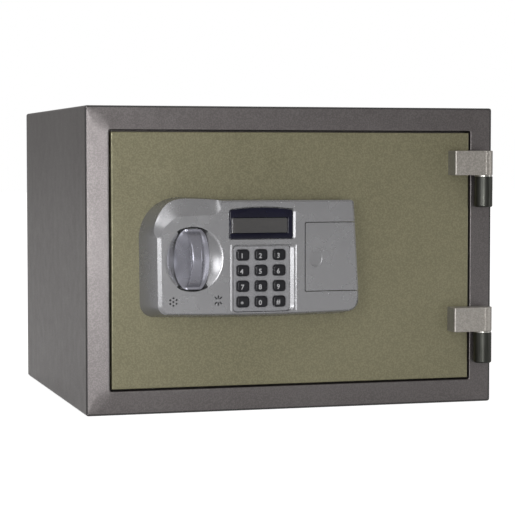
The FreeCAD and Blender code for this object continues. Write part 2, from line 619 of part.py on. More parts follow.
def key_panel():
    plate = slab(grow(PANEL, -FIT), 1.9, -HOUSING_DEPTH + 0.8, -HOUSING_DEPTH + 2.4)
    holes = []
    for x in KEY_COLUMNS:
        for z in KEY_ROWS:
            half_w = KEY_SIZE[0] / 2 + KEY_PLAY
            half_h = KEY_SIZE[1] / 2 + KEY_PLAY
            holes.append(slab((x - half_w, x + half_w, z - half_h, z + half_h), KEY_CORNER + KEY_PLAY, -40, 0))
    return plate.cut(holes)


def key(x, z):
    """Key cap with a collar behind the panel that stops it falling out."""
    half_w, half_h = KEY_SIZE[0] / 2, KEY_SIZE[1] / 2
    cap = slab((x - half_w, x + half_w, z - half_h, z + half_h), KEY_CORNER, -26.8, -22.0)
    cap = cap.makeFillet(0.7, front_edges(cap, -26.8))
    collar = slab((x - half_w - 0.7, x + half_w + 0.7, z - half_h - 0.7, z + half_h + 0.7), KEY_CORNER, -22.3, -21.7)
    return union([cap, collar])


def display_bezel():
    bezel = slab(grow(BEZEL, -FIT), 2.9, -HOUSING_DEPTH - 0.4, -HOUSING_DEPTH + 2.2)
    return bezel.cut(slab(WINDOW, 1, -40, 0))


def display_glass():
    return slab(grow(WINDOW, -FIT), 0.9, -HOUSING_DEPTH + 0.6, -HOUSING_DEPTH + 1.6)


def lcd_module():
    return block(-71, -17, -HOUSING_DEPTH + 2.3, BOARD_DEPTH, 181, 199)


def circuit_board():
    board = slab((-76, -11, 104, 201.5), 2, BOARD_DEPTH, BOARD_DEPTH + 1.6)
    chip = block(-52, -40, BOARD_DEPTH + 1.6, BOARD_DEPTH + 3.4, 150, 162)
    driver = block(-66, -58, BOARD_DEPTH + 1.6, BOARD_DEPTH + 3.1, 178, 186)
    return union([board, chip, driver])


def key_mat():
    """Rubber mat with one dome under each key."""
    sheet = slab((-74, -13, 105, 168), 2, BOARD_DEPTH - 0.9, BOARD_DEPTH)
    domes = [rod_y(x, z, 3.2, BOARD_DEPTH - 2.1, BOARD_DEPTH - 0.5) for x in KEY_COLUMNS for z in KEY_ROWS]
    return union([sheet] + domes)


def battery_heights():
    middle = (COVER_LOW + COVER_HIGH) / 2
    return [middle + (i - 1.5) * BATTERY_PITCH for i in range(4)]


def battery_tray():
    tray = block(1.0, 57.0, -21, -4, COVER_LOW + 1, COVER_HIGH - 1)
    return tray.cut(block(2.2, 55.8, -22, -5.2, COVER_LOW + 2.2, COVER_HIGH - 2.2))


def battery(z):
    cell = rod_x(4.2, 53.0, -13, z, BATTERY_RADIUS)
    return union([cell, rod_x(52.5, 54.2, -13, z, 2.6)])


def battery_contact(z):
    """Sprung end plate and flat end plate for one cell."""
    left = union([block(2.25, 2.65, -19, -7, z - 6, z + 6), rod_x(2.4, 4.15, -13, z, 2.2)])
    return [left, block(54.3, 54.7, -19, -7, z - 6, z + 6)]


def sounder(x, z):
    disc = rod_y(x, z, 9, -HOUSING_DEPTH + 2.3, -HOUSING_DEPTH + 8)
    return disc.cut(rod_y(x, z, 1.5, -HOUSING_DEPTH + 2, -HOUSING_DEPTH + 4))


def housing_screw(x, z):
    return union([rod_y(x, z, 4, DOOR_SHEET, DOOR_SHEET + 2.5), rod_y(x, z, 2, -12, DOOR_SHEET + 1)])


def knob():
    """Domed grip that spans the well, waisted in the middle, on a round hub."""
    centre = KNOB_FRONT + KNOB_RADIUS
    half = KNOB_HALF_WIDTH
    grip = rod_x(KNOB_X - half, KNOB_X + half, centre, KNOB_Z, KNOB_RADIUS).common(bowl_ball(-1.0))
    sag = half - KNOB_WAIST
    reach = KNOB_RADIUS - 1
    waist_radius = (reach ** 2 + sag ** 2) / (2 * sag)
    cuts = [rod_y(KNOB_X + side * (KNOB_WAIST + waist_radius), KNOB_Z, waist_radius, -60, 10) for side in (-1, 1)]
    boss = rod_y(KNOB_X, KNOB_Z, HUB_RADIUS, -14, -1)
    return union([grip.cut(cuts), boss]).cut(rod_y(KNOB_X, KNOB_Z, SPINDLE_RADIUS + 0.02, -18, 1))


# ---------------------------------------------------------------- write the nodes
save("outer_shell", outer_shell())
save("back_panel", back_panel())
save("front_frame", front_frame())
save("inner_liner", inner_liner())
save("cabinet_insulation", cabinet_insulation())
save("bolt_strikes", *[bolt_strike(z) for z in BOLT_HEIGHTS])
save("dead_bar_pocket", dead_bar_pocket())
save("anchor_sleeves", *[anchor_sleeve(x) for x in ANCHORS])
for side, leaf_bottom in LEAF_BOTTOMS.items():
    save("hinge_leaf_" + side, hinge_leaf(leaf_bottom))
    save("hinge_barrel_" + side, hinge_barrel(leaf_bottom))
save("hinge_pins", *[hinge_pin(z) for z in LEAF_BOTTOMS.values()])
save("hinge_washers", *[hinge_washer(z) for z in LEAF_BOTTOMS.values()])

save("door_skin", door_skin())
save("door_plug_pan", door_plug_pan())
save("door_insulation", door_insulation())
save("door_seal", door_seal())
save("door_inner_cover", door_inner_cover())
save("inner_cover_screws", *[pan_screw(x, z) for x, z in COVER_POSTS])
save("dead_bar", dead_bar())

save("spindle_bush", spindle_bush())
save("knob_spindle", knob_spindle())
save("drive_cam", drive_cam())
save("spindle_nut", spindle_nut())
save("bolt_carriage", bolt_carriage())
save("live_bolts", *[live_bolt(z) for z in BOLT_HEIGHTS])
save("bolt_nuts", *[bolt_nut(z) for z in BOLT_HEIGHTS])
save("guide_studs", *[guide_stud(z) for z in GUIDE_HEIGHTS])
save("solenoid_frame", solenoid_frame())
save("solenoid_coil", solenoid_coil())
save("solenoid_plunger", solenoid_plunger())
save("plunger_spring", plunger_spring())
save("lock_cable", lock_cable())

save("keypad_housing", keypad_housing())
save("battery_cover", battery_cover())
save("key_panel", key_panel())
save("display_bezel", display_bezel())
save("display_glass", display_glass())
save("lcd_module", lcd_module())
save("circuit_board", circuit_board())
save("key_mat", key_mat())
save("battery_tray", battery_tray())
save("batteries", *[battery(z) for z in battery_heights()])
save("battery_contacts", *[piece for z in battery_heights() for piece in battery_contact(z)])
save("piezo_sounders", sounder(*DOT_GRILLE), sounder(*SLIT_GRILLE))
save("housing_screws", *[housing_screw(x, z) for x, z in BOSSES])
save("knob", knob())
for names, key_z in zip(KEY_NAMES, KEY_ROWS):
    for name, key_x in zip(names, KEY_COLUMNS):
        save("key_" + name, key(key_x, key_z))
print("bolt throw %.4f mm" % THROW)
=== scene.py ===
import json
import math

import bpy
import bmesh
import numpy as np
from mathutils import Matrix, Vector
from mathutils.geometry import delaunay_2d_cdt


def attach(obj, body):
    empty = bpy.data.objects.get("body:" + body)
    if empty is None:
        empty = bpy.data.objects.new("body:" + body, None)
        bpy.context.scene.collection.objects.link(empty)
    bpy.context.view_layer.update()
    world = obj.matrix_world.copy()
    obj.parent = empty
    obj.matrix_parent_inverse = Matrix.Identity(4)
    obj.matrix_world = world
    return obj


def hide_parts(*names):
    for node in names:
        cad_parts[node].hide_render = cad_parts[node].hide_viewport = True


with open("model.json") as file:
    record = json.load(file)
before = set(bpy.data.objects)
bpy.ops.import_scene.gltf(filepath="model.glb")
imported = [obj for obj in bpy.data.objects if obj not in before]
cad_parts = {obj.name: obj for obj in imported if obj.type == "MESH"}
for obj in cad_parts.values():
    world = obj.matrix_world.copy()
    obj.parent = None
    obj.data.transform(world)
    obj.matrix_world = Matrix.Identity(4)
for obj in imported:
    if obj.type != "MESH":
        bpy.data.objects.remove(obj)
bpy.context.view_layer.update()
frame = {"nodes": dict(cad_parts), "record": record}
MM = 0.001


# ---------------------------------------------------------------- materials
MIX_FACTOR, MIX_A, MIX_B, MIX_RESULT = 0, 6, 7, 2      # a Mix node's sockets when it mixes colours


def feed(tree, value, socket):
    """Links an output to the socket, or gives the socket a constant."""
    if isinstance(value, bpy.types.NodeSocket):
        tree.links.new(value, socket)
    else:
        socket.default_value = value


class Paint:
    """A node material under construction: a Principled shader and the nodes that feed it."""

    def __init__(self, name, **sockets):
        self.mat = bpy.data.materials.new(name)
        self.mat.use_nodes = True
        self.tree = self.mat.node_tree
        self.shader = self.tree.nodes["Principled BSDF"]
        for key, value in sockets.items():
            self.set(key.replace("_", " "), value)
        self.place = self.tree.nodes.new("ShaderNodeTexCoord").outputs["Object"]

    def set(self, socket, value):
        feed(self.tree, value, self.shader.inputs[socket])

    def node(self, kind, **inputs):
        made = self.tree.nodes.new(kind)
        for key, value in inputs.items():
            feed(self.tree, value, made.inputs[key.replace("_", " ")])
        return made

    def noise(self, scale, detail=2.0, rough=0.5, stretch=None):
        place = self.place
        if stretch:
            place = self.node("ShaderNodeMapping", Vector=place, Scale=stretch).outputs["Vector"]
        return self.node("ShaderNodeTexNoise", Vector=place, Scale=scale, Detail=detail,
                         Roughness=rough).outputs["Fac"]

    def ramp(self, value, low, high, out_low=0.0, out_high=1.0):
        return self.node("ShaderNodeMapRange", Value=value, From_Min=low, From_Max=high, To_Min=out_low,
                         To_Max=out_high).outputs["Result"]

    def mix(self, amount, first, second):
        made = self.tree.nodes.new("ShaderNodeMix")
        made.data_type = "RGBA"
        feed(self.tree, amount, made.inputs[MIX_FACTOR])
        for index, color in ((MIX_A, first), (MIX_B, second)):
            feed(self.tree, (*color, 1.0) if isinstance(color, tuple) else color, made.inputs[index])
        return made.outputs[MIX_RESULT]

    def times(self, first, second):
        made = self.tree.nodes.new("ShaderNodeMath")
        made.operation = "MULTIPLY"
        feed(self.tree, first, made.inputs[0])
        feed(self.tree, second, made.inputs[1])
        return made.outputs[0]

    def bump(self, *layers):
        """Layers are (height socket, strength, distance in mm), laid one over another."""
        normal = None
        for height, strength, distance in layers:
            made = self.node("ShaderNodeBump", Height=height, Strength=strength, Distance=distance * MM)
            if normal is not None:
                self.tree.links.new(normal, made.inputs["Normal"])
            normal = made.outputs["Normal"]
        self.set("Normal", normal)


def painted(name, dark, light, metallic, roughness, grain=300.0, depth=0.10, fleck=0.25):
    """Sprayed enamel on steel: slow tone drift, fine flecks, orange peel."""
    m = Paint(name, Metallic=metallic)
    drift = m.ramp(m.noise(5.0, 4.0), 0.35, 0.68)
    tone = m.mix(drift, dark, light)
    flecks = m.ramp(m.noise(grain * 2.4, 1.0), 0.42, 0.62)
    sparkle = tuple(min(1.0, c * 1.9) for c in light)
    m.set("Base Color", m.mix(m.times(flecks, fleck), tone, sparkle))
    m.set("Roughness", m.ramp(m.noise(60.0, 3.0), 0.3, 0.7, roughness - 0.02, roughness + 0.03))
    m.bump((m.noise(grain, 2.0), 0.6, depth), (m.noise(grain / 7.0, 2.0), 0.25, depth * 3))
    return m.mat


def plastic(name, dark, light, roughness, grain=700.0, depth=0.015, shine=0.5):
    """Moulded plastic, rubber or ink: a slow tone drift and a fine grain."""
    m = Paint(name, Metallic=0.0, Specular_IOR_Level=shine)
    m.set("Base Color", m.mix(m.ramp(m.noise(25.0, 3.0), 0.35, 0.65), dark, light))
    m.set("Roughness", m.ramp(m.noise(140.0, 2.0), 0.3, 0.7, roughness - 0.05, roughness + 0.05))
    m.bump((m.noise(grain, 2.0), 0.4, depth))
    return m.mat


def metal(name, dark, light, roughness, stretch=(1, 1, 1)):
    """Bare or plated metal; the stretch draws its grain out into streaks."""
    m = Paint(name, Metallic=1.0)
    streak = m.noise(300.0, 3.0, 0.6, stretch)
    m.set("Base Color", m.mix(m.ramp(streak, 0.3, 0.7), dark, light))
    m.set("Roughness", m.ramp(m.noise(40.0, 3.0), 0.3, 0.7, roughness - 0.06, roughness + 0.08))
    m.bump((streak, 0.25, 0.01))
    return m.mat


SLOTS = {
    "cabinet_paint": painted("cabinet_enamel", (0.128, 0.117, 0.117), (0.148, 0.137, 0.137), 0.85, 0.36),
    "door_paint": painted("door_enamel", (0.150, 0.140, 0.085), (0.178, 0.167, 0.104), 0.4, 0.30),
    "interior_paint": painted("interior_enamel", (0.42, 0.42, 0.40), (0.50, 0.50, 0.48), 0.05, 0.5),
    "pan_paint": painted("pan_enamel", (0.16, 0.155, 0.11), (0.20, 0.19, 0.14), 0.1, 0.5),
    "fire_fill": plastic("fire_fill", (0.50, 0.48, 0.44), (0.62, 0.60, 0.56), 0.9, depth=0.4, grain=120),
    "zinc_steel": metal("zinc_steel", (0.46, 0.46, 0.47), (0.62, 0.62, 0.64), 0.36),
    "barrel_steel": metal("barrel_steel", (0.036, 0.037, 0.033), (0.06, 0.061, 0.055), 0.36, (1, 1, 0.1)),
    "hinge_paint": painted("hinge_enamel", (0.25, 0.233, 0.212), (0.295, 0.278, 0.256), 0.5, 0.34),
    "washer_metal": metal("washer_metal", (0.40, 0.39, 0.36), (0.50, 0.49, 0.46), 0.3),
    "bolt_chrome": metal("bolt_chrome", (0.68, 0.68, 0.70), (0.80, 0.80, 0.82), 0.14, (0.1, 1, 1)),
    "seal_rubber": plastic("seal_rubber", (0.020, 0.020, 0.020), (0.035, 0.035, 0.035), 0.6),
    "silver_plastic": painted("silver_lacquer", (0.27, 0.27, 0.28), (0.30, 0.30, 0.31), 0.75, 0.26,
                              grain=900, depth=0.004, fleck=0.08),
    "knob_plastic": painted("knob_lacquer", (0.255, 0.255, 0.295), (0.285, 0.285, 0.325), 0.8, 0.26,
                            grain=900, depth=0.003, fleck=0.05),
    "panel_plastic": painted("panel_lacquer", (0.17, 0.17, 0.18), (0.22, 0.22, 0.23), 0.5, 0.42,
                             grain=900, depth=0.05, fleck=0.5),
    "key_black": plastic("key_black", (0.004, 0.004, 0.006), (0.007, 0.007, 0.010), 0.30, shine=0.3),
    "bezel_black": plastic("bezel_black", (0.003, 0.003, 0.010), (0.005, 0.005, 0.015), 0.16,
                           grain=200, shine=0.25),
    "display_glass": plastic("display_glass", (0.045, 0.044, 0.044), (0.052, 0.050, 0.050), 0.12, grain=200),
    "lcd_grey": plastic("lcd_grey", (0.09, 0.10, 0.09), (0.12, 0.13, 0.11), 0.3),
    "board_green": plastic("board_green", (0.01, 0.09, 0.03), (0.015, 0.13, 0.05), 0.35),
    "mat_rubber": plastic("mat_rubber", (0.25, 0.25, 0.26), (0.32, 0.32, 0.33), 0.6),
    "tray_plastic": plastic("tray_plastic", (0.018, 0.018, 0.02), (0.028, 0.028, 0.03), 0.5),
    "cell_wrap": plastic("cell_wrap", (0.02, 0.05, 0.10), (0.03, 0.07, 0.14), 0.25),
    "coil_wrap": plastic("coil_wrap", (0.35, 0.20, 0.02), (0.45, 0.27, 0.04), 0.4),
    "cable_jacket": plastic("cable_jacket", (0.015, 0.015, 0.015), (0.025, 0.025, 0.025), 0.45),
}

# Painted shade: a dark band on the front frame's outer rim, standing in for the seam's shadow and the rim's
# dark reflection
RIM_PAINTED_SHADE = painted("rim_painted_shade", (0.02, 0.019, 0.019), (0.035, 0.033, 0.033), 0.1, 0.7)
# Painted shade: the hinge leaves' end faces, darker than the lamps leave them
LEAF_PAINTED_SHADE = painted("leaf_end_painted_shade", (0.10, 0.096, 0.085), (0.14, 0.134, 0.12), 0.3, 0.45)
LEGEND = plastic("legend_ink", (0.34, 0.34, 0.35), (0.42, 0.42, 0.43), 0.5)

for row in frame["record"]["subparts"]:
    obj = frame["nodes"][row["node"]]
    obj.data.materials.clear()
    obj.data.materials.append(SLOTS[row["material_slot"]])

scene = bpy.context.scene

# ---------------------------------------------------------------- mesh building
HINGE_X, HINGE_D = 204.1, -10.0         # the hinge axis; depths count back from the cabinet's front face
DOOR_HINGE = frame["record"]["behaviour"]["joints"][0]
FRONT = DOOR_HINGE["pos_m"][1] / MM - HINGE_D


def at(x, d, z):
    """Point in metres, from X and Z in millimetres and the depth behind the cabinet's front face."""
    return Vector((x, FRONT + d, z)) * MM


def lerp(a, b, t):
    return tuple(p + (q - p) * t for p, q in zip(a, b))


def smooth(low, high, value):
    """0 at low, 1 at high, with a soft step between; low may be the larger."""
    t = min(1.0, max(0.0, (value - low) / (high - low)))
    return t * t * (3 - 2 * t)


def spline(knots, count):
    """Evenly spaced points on a Catmull-Rom curve through the knots, both ends included."""
    pad = [knots[0]] + list(knots) + [knots[-1]]
    steps = 24
    fine = []
    for i in range(1, len(pad) - 2):
        a, b, c, e = (Vector(p) for p in pad[i - 1:i + 3])
        for s in range(steps):
            t = s / steps
            fine.append(0.5 * ((2 * b) + (c - a) * t + (2 * a - 5 * b + 4 * c - e) * t * t
                               + (3 * b - a - 3 * c + e) * t ** 3))
    fine.append(Vector(knots[-1]))
    return respace(fine, count)


def respace(points, count):
    """Evenly spaced points along a line of straight runs."""
    points = [Vector(p) for p in points]
    run = [0.0]
    for p, q in zip(points, points[1:]):
        run.append(run[-1] + (q - p).length)
    out, k = [], 0
    for i in range(count):
        want = run[-1] * i / (count - 1)
        while k < len(run) - 2 and run[k + 1] < want:
            k += 1
        span = run[k + 1] - run[k]
        t = (want - run[k]) / span if span else 0.0
        out.append(tuple(points[k].lerp(points[k + 1], t)))
    return out


def arc(cx, cz, radius, start, end, count):
    turns = [math.radians(start + (end - start) * i / count) for i in range(count + 1)]
    return [(cx + radius * math.cos(a), cz + radius * math.sin(a)) for a in turns]


def rounded(x0, x1, z0, z1, radius, count=6):
    """Rounded rectangle, clockwise from the top of its left side; radius may be four: TL, TR, BR, BL."""
    tl, tr, br, bl = radius if isinstance(radius, tuple) else (radius,) * 4
    return (arc(x0 + tl, z1 - tl, tl, 180, 90, count) + arc(x1 - tr, z1 - tr, tr, 90, 0, count)
            + arc(x1 - br, z0 + br, br, 0, -90, count) + arc(x0 + bl, z0 + bl, bl, -90, -180, count))


def circle(cx, cz, radius, count=14):
    """A circle's points, clockwise from its left."""
    return arc(cx, cz, radius, 180, 180 - 360 * (count - 1) / count, count - 1)


class Shell:
    """Points and faces of one piece."""

    def __init__(self):
        self.points = []
        self.faces = []

    def ring(self, points, depth=None):
        """Adds (x, z) points at one depth, or (x, z, depth) points, and returns their numbers."""
        first = len(self.points)
        for p in points:
            self.points.append(at(p[0], p[2] if depth is None else depth, p[1]))
        return list(range(first, len(self.points)))

    def bridge(self, a, b, closed=True):
        span = len(a) if closed else len(a) - 1
        for i in range(span):
            j = (i + 1) % len(a)
            quad = [a[i], a[j], b[j], b[i]]
            if len(set(quad)) >= 3:
                self.faces.append(quad)

    def steps(self, rows, closed=True):
        for a, b in zip(rows, rows[1:]):
            self.bridge(a, b, closed)

    def fill(self, loops):
        """Faces over the area inside the first loop and outside the others, seen from the front."""
        used = [i for loop in loops for i in loop]
        flat = [Vector((self.points[i].x, self.points[i].z)) / MM for i in used]
        edges = []
        start = 0
        for loop in loops:
            n = len(loop)
            edges += [(start + k, start + (k + 1) % n) for k in range(n)]
            start += n
        made, _, faces, came_from, _, _ = delaunay_2d_cdt(flat, edges, [], 0, 1e-5)
        index = [used[old[0]] if old else None for old in came_from]
        ends = np.array([[flat[a].x, flat[a].y, flat[b].x, flat[b].y] for a, b in edges])
        for face in faces:
            if any(index[v] is None for v in face):
                continue
            c = sum((Vector(made[v]) for v in face), Vector((0, 0))) / len(face)
            x0, z0, x1, z1 = ends[(ends[:, 1] > c.y) != (ends[:, 3] > c.y)].T
            crossings = np.sum(x0 + (c.y - z0) / (z1 - z0) * (x1 - x0) > c.x)
            if crossings % 2:
                self.faces.append([index[v] for v in face])


def bake(obj):
    """Puts the modifiers' result into the object's own mesh."""
    bpy.context.view_layer.update()
    result = bpy.data.meshes.new_from_object(obj.evaluated_get(bpy.context.evaluated_depsgraph_get()))
    obj.modifiers.clear()
    old, obj.data = obj.data, result
    bpy.data.meshes.remove(old)


def crisp(mesh, angle):
    """Smooth faces, with hard edges where two faces meet at more than the angle in degrees."""
    bm = bmesh.new()
    bm.from_mesh(mesh)
    for f in bm.faces:
        f.smooth = True
    for e in bm.edges:
        e.smooth = not (e.is_manifold and e.calc_face_angle(0.0) > math.radians(angle))
    bm.to_mesh(mesh)
    bm.free()


def piece(name, shell, body, slot, stands_for, wall=0.0, sharp=38.0, closed=False, cutters=()):
    """Makes the shell an object on its body, walled inwards and cut if asked, in place of a CAD node."""
    mesh = bpy.data.meshes.new(name)
    mesh.from_pydata([tuple(p) for p in shell.points], [], shell.faces)
    bm = bmesh.new()
    bm.from_mesh(mesh)
    bmesh.ops.remove_doubles(bm, verts=bm.verts, dist=0.002 * MM)
    bmesh.ops.dissolve_degenerate(bm, edges=bm.edges, dist=0.001 * MM)
    bmesh.ops.delete(bm, geom=[v for v in bm.verts if not v.link_faces], context="VERTS")
    bmesh.ops.recalc_face_normals(bm, faces=bm.faces)
    if not closed and sum(f.normal.y * f.calc_area() for f in bm.faces) > 0:
        bmesh.ops.reverse_faces(bm, faces=bm.faces)
    bm.to_mesh(mesh)
    bm.free()
    mesh.materials.append(SLOTS[slot])
    obj = bpy.data.objects.new(name, mesh)
    scene.collection.objects.link(obj)
    if wall:
        thick = obj.modifiers.new("wall", "SOLIDIFY")
        thick.thickness = wall * MM
        thick.offset = -1.0
        bake(obj)
    for cutter in cutters:
        cut = obj.modifiers.new("cut", "BOOLEAN")
        cut.operation = "DIFFERENCE"
        cut.solver = "EXACT"
        cut.object = cutter
    if cutters:
        bake(obj)
        for cutter in cutters:
            bpy.data.objects.remove(cutter)
    crisp(obj.data, sharp)
    shade = obj.modifiers.new("shading", "WEIGHTED_NORMAL")
    shade.keep_sharp = True
    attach(obj, body)
    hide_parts(stands_for)
    return obj


# ---------------------------------------------------------------- keypad housing
FACE = -25.0                # depth of the housing's front face
LIP = -23.0                 # where its side walls end and the edge bevel starts
SCOOP_LIP = -19.0           # the same on the scooped corner over the knob
SCOOP_FOOT = 178.0          # where the scooped corner starts on the left side
WALL = 1.6                  # thickness of the housing and the battery cover
KNOB_X, KNOB_Z = -114.3, 157.0
SEAMS = (193.1, 192.3, 123.1, 122.3)    # both sides of the battery cover's upper and lower seam
SEAM_X = (2.9, 3.7)                     # both sides of its left seam
RIGHT_LEVELS = [205.0, 199.0, SEAMS[0], SEAMS[1], 180.0, 165.0, 150.0, 135.0, SEAMS[2], SEAMS[3], 117.0]

# Counts of stations along the unit's outline, which is walked clockwise from its lower left
LEFT_STATIONS = 8
SCOOP_STATIONS = 72
TOP_STATIONS = 12
CORNER_STEPS = 8
RIGHT_START = LEFT_STATIONS + SCOOP_STATIONS - 1 + TOP_STATIONS + CORNER_STEPS + 1
SEAM_STATIONS = [RIGHT_START + RIGHT_LEVELS.index(level) for level in SEAMS]


def warp(x, z):
    """The unit's outline leans in towards the top right and bows out at the bottom."""
    right = smooth(-20, 60, x)
    x -= right * 5.2 * max(0.0, (z - 123.0) / 91.0)
    left = smooth(-120, -150, x)
    x += left * 0.011 * max(0.0, 178.0 - z)
    low = smooth(125, 104, z)
    bow = 1.0 - ((x + 43.0) / 105.0) ** 2
    return x, z - low * 1.9 * max(0.0, bow)


def straight(a, b, count):
    """Points on a straight run, without its end."""
    return [lerp(a, b, i / count) for i in range(count)]


def perimeter(x0, x1, z0, z1, radii, scoop, depth):
    """Outline in matching stations: left side, scoop, top, right side with set levels, bottom.

    The scoop is a path of (x, z) points, or of (x, z, depth) points where its depth differs from the rest.
    """
    tr, br, bl = radii
    left = straight((x0, z0 + bl), (x0, SCOOP_FOOT), LEFT_STATIONS)
    top = straight(scoop[-1][:2], (x1 - tr, z1), TOP_STATIONS)
    corner = arc(x1 - tr, z1 - tr, tr, 90, 0, CORNER_STEPS)
    right = [(x1, z) for z in RIGHT_LEVELS]
    foot = arc(x1 - br, z0 + br, br, 0, -90, 10)
    bottom = straight((x1 - br, z0), (x0 + bl, z0), 26)[1:]
    heel = arc(x0 + bl, z0 + bl, bl, -90, -180, 8)[:-1]
    line = [warp(*p) for p in left] + scoop[:-1] + top[:1] + [(warp(*p)[0], p[1]) for p in top[1:]]
    line += [warp(*p) for p in corner + right + foot + bottom + heel]
    return [p if len(p) == 3 else (*p, depth) for p in line]


BASE_ARC = arc(-123.0, SCOOP_FOOT, 40.5, 180, 90, 20)
BASE_PATH = respace(BASE_ARC + [(-100.0, 217.6), (-83.8, 216.2)], SCOOP_STATIONS)
LIP_KNOTS = [(-150.0, SCOOP_FOOT, LIP), (-151.4, 180.6, -21.2), (-152.5, 184.0, -19.4),
             (-151.2, 192.7, SCOOP_LIP), (-145.2, 205.1, SCOOP_LIP), (-137.8, 213.0, SCOOP_LIP),
             (-130.2, 216.2, SCOOP_LIP), (-122.0, 217.3, SCOOP_LIP), (-108.0, 217.1, SCOOP_LIP),
             (-95.0, 216.4, SCOOP_LIP), (-88.5, 215.9, -19.8), (-85.4, 215.4, -21.8), (-83.8, 215.2, LIP)]
LIP_PATH = spline(LIP_KNOTS, SCOOP_STATIONS)
FACE_KNOTS = [(-146.2, SCOOP_FOOT, FACE), (-146.5, 181.3, FACE), (-144.4, 187.0, FACE), (-138.4, 193.1, FACE),
              (-132.6, 197.3, FACE), (-126.4, 199.6, FACE), (-110.5, 200.4, FACE), (-96.0, 200.9, FACE),
              (-89.4, 202.3, FACE), (-85.6, 206.0, FACE), (-84.1, 210.0, FACE), (-83.8, 213.4, FACE)]
FACE_PATH = spline(FACE_KNOTS, SCOOP_STATIONS)

# The side walls run from the base line to the lip line, and the edge bevel from there to the face line
BASE_LINE = perimeter(-163.5, 61.5, 98.0, 214.6, (5.0, 12.0, 14.0), BASE_PATH, -0.05)
LIP_LINE = perimeter(-150.0, 61.0, 102.0, 215.2, (3.6, 11.2, 8.6), LIP_PATH, LIP)
FACE_LINE = perimeter(-146.2, 58.8, 103.6, 213.6, (2.6, 9.8, 7.0), FACE_PATH, FACE)


def wall_rows(shell, pick):
    """Side wall and edge bevel, as rows of points for the chosen stations."""
    base, lip, face = ([line[i] for i in pick] for line in (BASE_LINE, LIP_LINE, FACE_LINE))
    rows = []
    for v in (0.0, 0.1, 0.35, 0.7, 0.94, 1.0):
        rows.append(shell.ring([lerp(b, p, v) for b, p in zip(base, lip)]))
    for u in (0.1, 0.25, 0.4, 0.55, 0.7, 0.82, 0.93, 1.0):
        rows.append(shell.ring([lerp(p, q, u) for p, q in zip(lip, face)]))
    return rows


BALL = 62.0                 # radius of the ball that shapes the knob's dish
BALL_RIM = 32.3             # radius of the circle in which the ball cuts the housing's face
BALL_D = FACE - math.sqrt(BALL ** 2 - BALL_RIM ** 2)
RIM = 32.0                  # the dish's radius at its top and bottom
GAP_DEEP = 17.0             # depth of the gap above and below the grip


def ball_depth(r):
    return BALL_D + math.sqrt(max(1.0, BALL ** 2 - r ** 2))


def dish_edge(angle):
    """The dish's radius towards an angle, and how softly its lip rolls over there."""
    left = max(0.0, -math.cos(angle)) ** 1.5
    right = max(0.0, math.cos(angle)) ** 2
    return RIM - 7.2 * left - 1.3 * right, 1.0 + 2.2 * left


def dish(r, angle):
    """Depth of the knob's dish: a ball's cap with a soft left lip, and a gap above and below the grip."""
    edge, blend = dish_edge(angle)
    cap = ball_depth(r * BALL_RIM / edge)
    near = max(blend - abs(cap - FACE), 0.0) / blend
    depth = max(cap, FACE) + near * near * blend / 4
    gap = smooth(0.86, 0.965, abs(math.sin(angle)))
    steep = max(ball_depth(r), FACE + GAP_DEEP * smooth(BALL_RIM, BALL_RIM - 0.9, r))
    return depth + (steep - depth) * gap


def dish_radius(angle):
    """Where the dish's lip has rolled over into the face."""
    edge, blend = dish_edge(angle)
    r = math.sqrt(BALL ** 2 - (BALL_D - FACE + blend) ** 2)
    return r * edge / BALL_RIM


def dish_rows(shell, sides=144):
    angles = [math.pi - 2 * math.pi * i / sides for i in range(sides)]
    shares = [1.0, 0.99, 0.98, 0.97, 0.96, 0.95, 0.94, 0.93, 0.92, 0.90, 0.88, 0.86, 0.83, 0.79, 0.74, 0.68,
              0.6, 0.5, 0.4, 0.3, 0.22, 0.165]
    rows = []
    for share in shares:
        row = []
        for a in angles:
            r = dish_radius(a) * share
            depth = FACE if share == 1.0 else dish(r, a)
            row.append((KNOB_X + r * math.cos(a), KNOB_Z + r * math.sin(a), depth))
        rows.append(shell.ring(row))
    return rows


def arched(x0, x1, z0, z1, rise, radius, count=6):
    """Rounded rectangle whose top side is a shallow arch."""
    points = rounded(x0, x1, z0, z1, radius, count)
    flat_top = [lerp(points[count], points[count + 1], i / 16) for i in range(1, 16)]
    middle, half = (x0 + x1) / 2, (x1 - x0) / 2
    lifted = []
    for x, z in points[:count + 1] + flat_top + points[count + 1:]:
        high = smooth(z1 - 8, z1 - 2, z)
        lifted.append((x, z + high * rise * (1 - ((x - middle) / half) ** 2)))
    return lifted


def recess(shell, steps):
    """Pocket from nested (outline, depth) steps; returns its mouth, to be left out of the face."""
    rows = [shell.ring(outline, depth) for outline, depth in steps]
    shell.steps(rows)
    shell.fill([rows[-1]])
    return rows[0]


def v_groove(shell, x, z0, z1):
    """Groove with a steep left side and a gentle right one."""
    outer = rounded(x - 0.5, x + 1.3, z0, z1, 0.6, 4)
    inner = rounded(x - 0.2, x - 0.05, z0 + 0.6, z1 - 0.6, 0.07, 4)
    return recess(shell, ((outer, FACE), (inner, FACE + 0.75)))


COLUMNS = (-62.0, -43.0, -24.0)
ROWS = (160.5, 144.75, 129.0, 113.25)
NAMES = ("1", "2", "3", "4", "5", "6", "7", "8", "9", "star", "0", "hash")


def key_places():
    for i, name in enumerate(NAMES):
        yield name, COLUMNS[i % 3], ROWS[i // 3]


